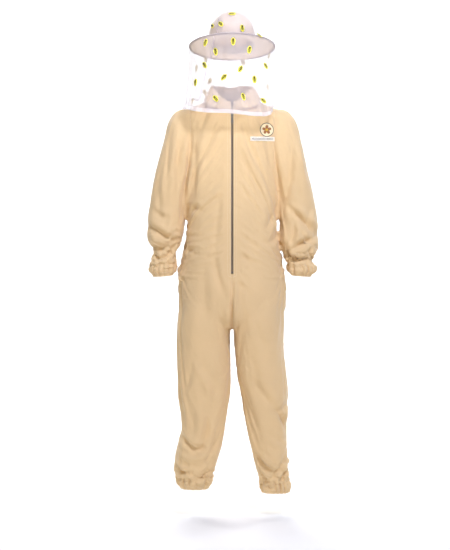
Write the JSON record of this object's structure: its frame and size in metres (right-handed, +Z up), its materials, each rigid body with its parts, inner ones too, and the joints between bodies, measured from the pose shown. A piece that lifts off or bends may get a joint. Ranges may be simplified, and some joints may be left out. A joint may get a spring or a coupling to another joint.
{
  "type": "beekeeping suit",
  "caption": "One-piece beige coverall with shirt collar, front zip, elastic cuffs and ankles, and a wide-brimmed hat whose sheer veil with small bees falls to the shoulders.",
  "frame": {"origin": "on the wearer's centre line at the height where the suit rests on the shoulders", "axes": "+Z up the body, front towards -Y, wearer's left towards +X"},
  "size_m": [0.628, 0.3211, 1.7862],
  "materials": {
    "suit_cloth": "matt woven cotton-polyester twill, beige",
    "elastic": "ribbed white elastic",
    "pocket_lining": "thin plain-woven lining",
    "zip_tape": "woven zip tape, brown-grey",
    "zip_metal": "antique nickel",
    "patch_ground": "felted ground with a stitched edge",
    "patch_thread": "satin-stitched thread",
    "hat_cloth": "matt woven cotton, stitched",
    "brim_binding": "bias binding, tan",
    "brim_wire": "spring steel wire",
    "sweatband": "cotton tape",
    "veil_net": "sheer white tulle",
    "bees": "felt, printed yellow and dark brown"
  },
  "bodies": {
    "root": {"front_left_panel": "suit_cloth", "front_right_panel": "suit_cloth", "back_left_panel": "suit_cloth", "back_right_panel": "suit_cloth", "collar_stand": "suit_cloth", "collar_fall": "suit_cloth", "zip_tape_left": "zip_tape", "zip_tape_right": "zip_tape", "zip_teeth_left": "zip_metal", "zip_teeth_right": "zip_metal", "zip_top_stops": "zip_metal", "zip_bottom_stop": "zip_metal", "chest_patch": "patch_ground", "patch_flower": "patch_thread", "chest_label": "patch_thread", "pocket_bag_left": "pocket_lining", "pocket_bag_right": "pocket_lining", "shoulder_left": "suit_cloth", "shoulder_right": "suit_cloth", "hip_left": "suit_cloth", "hip_right": "suit_cloth"},
    "zip_slider": {"zip_slider": "zip_metal"},
    "zip_pull": {"zip_pull": "zip_metal"},
    "hat": {"hat_crown": "hat_cloth", "hat_brim": "hat_cloth", "brim_wire": "brim_wire", "brim_binding": "brim_binding", "hat_sweatband": "sweatband", "hat_button": "hat_cloth", "veil_top": "veil_net", "veil_curtain": "veil_net", "veil_hem": "veil_net", "veil_bees": "bees"},
    "upper_arm_left": {"upper_sleeve_left": "suit_cloth", "elbow_left": "suit_cloth"},
    "forearm_left": {"lower_sleeve_left": "suit_cloth", "cuff_left": "suit_cloth", "cuff_elastic_left": "elastic"},
    "thigh_left": {"thigh_left": "suit_cloth", "knee_left": "suit_cloth"},
    "shin_left": {"shin_left": "suit_cloth", "ankle_hem_left": "suit_cloth", "ankle_elastic_left": "elastic"},
    "upper_arm_right": {"upper_sleeve_right": "suit_cloth", "elbow_right": "suit_cloth"},
    "forearm_right": {"lower_sleeve_right": "suit_cloth", "cuff_right": "suit_cloth", "cuff_elastic_right": "elastic"},
    "thigh_right": {"thigh_right": "suit_cloth", "knee_right": "suit_cloth"},
    "shin_right": {"shin_right": "suit_cloth", "ankle_hem_right": "suit_cloth", "ankle_elastic_right": "elastic"}
  },
  "joints": [
    {"name": "zip_slide", "type": "slide", "parent": "root", "child": "zip_slider", "axis": [0, -0.0767, -0.9971], "range_m": [0, 0.539]},
    {"name": "pull_swing", "type": "hinge", "parent": "zip_slider", "child": "zip_pull", "pos_m": [0, -0.09243, -0.00772], "axis": [-1, 0, 0], "range_deg": [0, 150]},
    {"name": "hat_lift", "type": "slide", "parent": "root", "child": "hat", "axis": [0, 0, 1], "range_m": [0, 0.35]},
    {"name": "shoulder_left", "type": "hinge", "parent": "root", "child": "upper_arm_left", "pos_m": [0.185, 0.008, -0.06], "axis": [0, -1, 0], "range_deg": [0, 35], "deforming": ["shoulder_left"]},
    {"name": "elbow_left", "type": "hinge", "parent": "upper_arm_left", "child": "forearm_left", "pos_m": [0.244, -0.01, -0.421], "axis": [-1, 0, 0], "range_deg": [0, 55], "deforming": ["elbow_left"]},
    {"name": "hip_left", "type": "hinge", "parent": "root", "child": "thigh_left", "pos_m": [0.097, 0.02, -0.77], "axis": [-1, 0, 0], "range_deg": [0, 28], "deforming": ["hip_left"]},
    {"name": "knee_left", "type": "hinge", "parent": "thigh_left", "child": "shin_left", "pos_m": [0.127, 0, -1.05], "axis": [1, 0, 0], "range_deg": [0, 50], "deforming": ["knee_left"]},
    {"name": "shoulder_right", "type": "hinge", "parent": "root", "child": "upper_arm_right", "pos_m": [-0.185, 0.008, -0.06], "axis": [0, 1, 0], "range_deg": [0, 35], "deforming": ["shoulder_right"]},
    {"name": "elbow_right", "type": "hinge", "parent": "upper_arm_right", "child": "forearm_right", "pos_m": [-0.244, -0.01, -0.421], "axis": [-1, 0, 0], "range_deg": [0, 55], "deforming": ["elbow_right"]},
    {"name": "hip_right", "type": "hinge", "parent": "root", "child": "thigh_right", "pos_m": [-0.097, 0.02, -0.77], "axis": [-1, 0, 0], "range_deg": [0, 28], "deforming": ["hip_right"]},
    {"name": "knee_right", "type": "hinge", "parent": "thigh_right", "child": "shin_right", "pos_m": [-0.104, 0, -1.05], "axis": [1, 0, 0], "range_deg": [0, 50], "deforming": ["knee_right"]}
  ]
}
